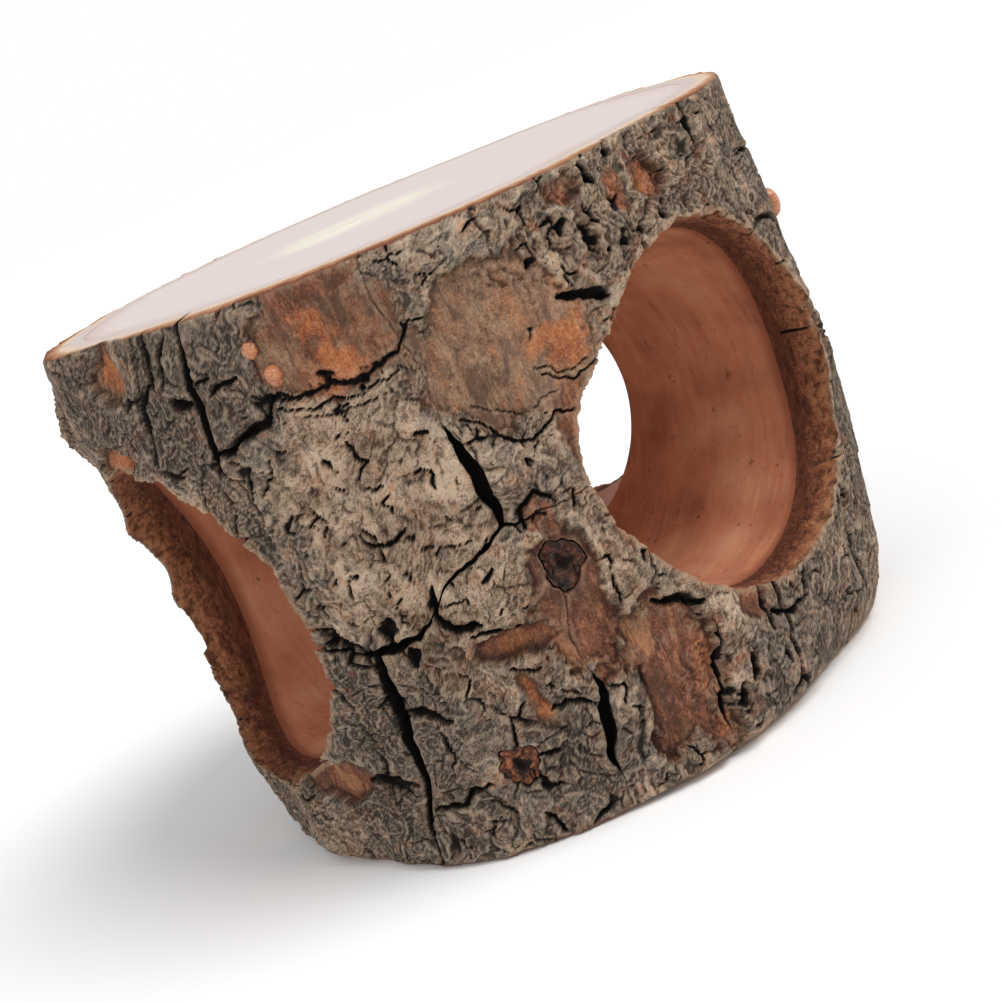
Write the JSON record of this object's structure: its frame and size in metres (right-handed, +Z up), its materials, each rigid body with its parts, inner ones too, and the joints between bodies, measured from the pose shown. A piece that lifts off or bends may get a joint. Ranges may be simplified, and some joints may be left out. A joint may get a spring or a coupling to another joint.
{
  "type": "log hideout",
  "caption": "Short bark-covered log, sawn flat at both ends, with round doorways bored in from the sides to meet in a central chamber.",
  "frame": {"origin": "pith of the log on its sawn base", "axes": "+Z up along the log, -Y out of the front doorway, +X to the right of it"},
  "size_m": [0.1077, 0.1083, 0.083],
  "materials": {
    "wood": "sawn softwood: pale end grain with a yellowish heartwood streak, red-brown walls in the bores",
    "inner_bark": "dark red-brown fibrous bast",
    "bark": "rough dry outer bark: grey plates, tan scales and rust patches",
    "knot": "dark dead branch wood",
    "resin": "hard amber resin beads, glossy"
  },
  "bodies": {
    "root": {"bark_lower_back": "bark", "bark_lower_back_left": "bark", "bark_lower_back_right": "bark", "bark_lower_front_left": "bark", "bark_lower_front_middle": "bark", "bark_lower_front_right": "bark", "bark_lower_right": "bark", "bark_over_front_door": "bark", "bark_over_left_door": "bark", "bark_over_right_door": "bark", "bark_under_front_door": "bark", "bark_under_left_door": "bark", "bark_under_right_door": "bark", "bark_upper_back": "bark", "bark_upper_back_left": "bark", "bark_upper_back_right": "bark", "bark_upper_front_left": "bark", "bark_upper_front_right": "bark", "bark_upper_right": "bark", "inner_bark": "inner_bark", "knot_low": "knot", "knot_middle": "knot", "resin_beads": "resin", "wood_core": "wood"}
  },
  "joints": []
}
